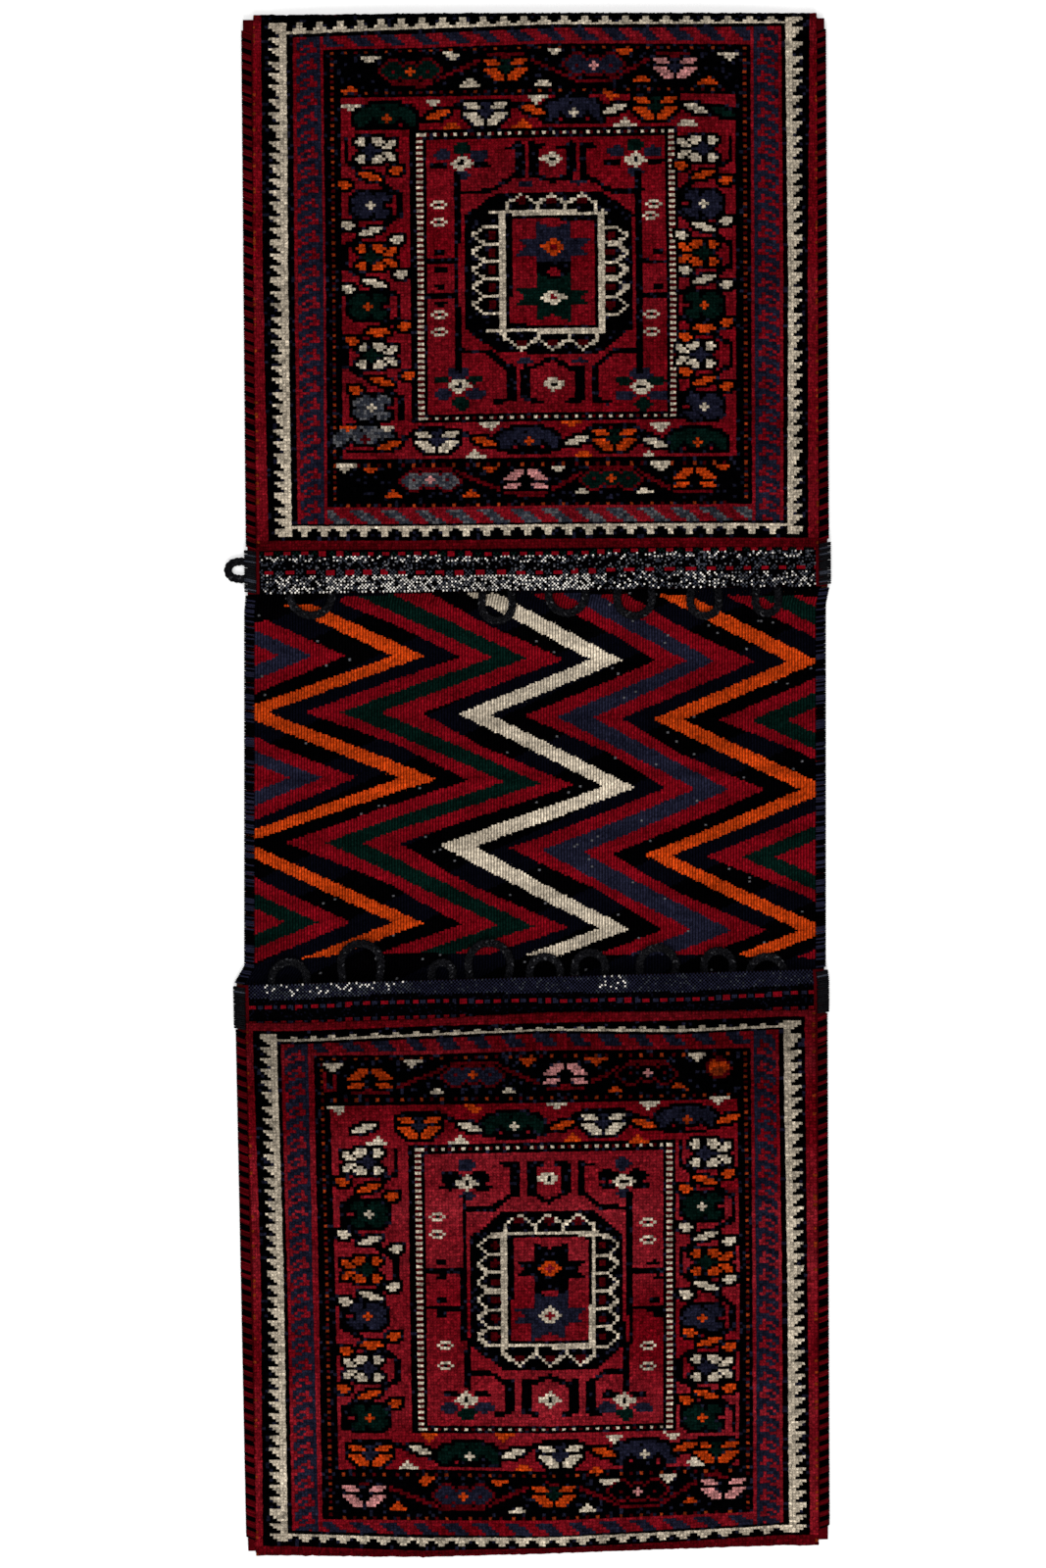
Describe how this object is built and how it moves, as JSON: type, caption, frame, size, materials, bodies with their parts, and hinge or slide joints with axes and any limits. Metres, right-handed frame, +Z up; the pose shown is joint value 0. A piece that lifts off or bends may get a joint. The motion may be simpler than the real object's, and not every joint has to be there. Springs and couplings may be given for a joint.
{
  "type": "kilim saddle bag",
  "caption": "Double saddle bag woven in one strip: two flat pile-faced pouches joined by a zigzag flat-weave bridge, overcast side seams and goat-hair closure loops.",
  "frame": {"origin": "middle of the bridge's underside, on the face that the bag lies on", "axes": "+Y along the bag from the lower pouch to the upper pouch, +X across it to the right, +Z up out of the pile faces"},
  "size_m": [0.5178, 1.3115, 0.0217],
  "materials": {
    "woven_wool": "matte knotted pile and flat weave",
    "red_overcasting": "matte wool yarn",
    "dark_overcasting": "matte wool yarn",
    "goat_hair": "coarse braided goat hair"
  },
  "bodies": {
    "root": {"woven_strip": "woven_wool", "upper_left_side_seam": "red_overcasting", "upper_right_side_seam": "red_overcasting", "lower_left_side_seam": "red_overcasting", "lower_right_side_seam": "red_overcasting", "upper_left_corner_wrap": "goat_hair", "upper_right_corner_wrap": "goat_hair", "lower_left_corner_wrap": "goat_hair", "lower_right_corner_wrap": "goat_hair", "bridge_left_selvedge": "dark_overcasting", "bridge_right_selvedge": "dark_overcasting", "upper_closure_loop_1": "goat_hair", "upper_closure_loop_2": "goat_hair", "upper_closure_loop_3": "goat_hair", "upper_closure_loop_4": "goat_hair", "upper_closure_loop_5": "goat_hair", "upper_closure_loop_6": "goat_hair", "upper_closure_loop_7": "goat_hair", "upper_closure_loop_8": "goat_hair", "lower_closure_loop_1": "goat_hair", "lower_closure_loop_2": "goat_hair", "lower_closure_loop_3": "goat_hair", "lower_closure_loop_4": "goat_hair", "lower_closure_loop_5": "goat_hair", "lower_closure_loop_6": "goat_hair", "lower_closure_loop_7": "goat_hair", "lower_closure_loop_8": "goat_hair", "lower_closure_loop_9": "goat_hair", "side_tab": "goat_hair"}
  },
  "joints": []
}
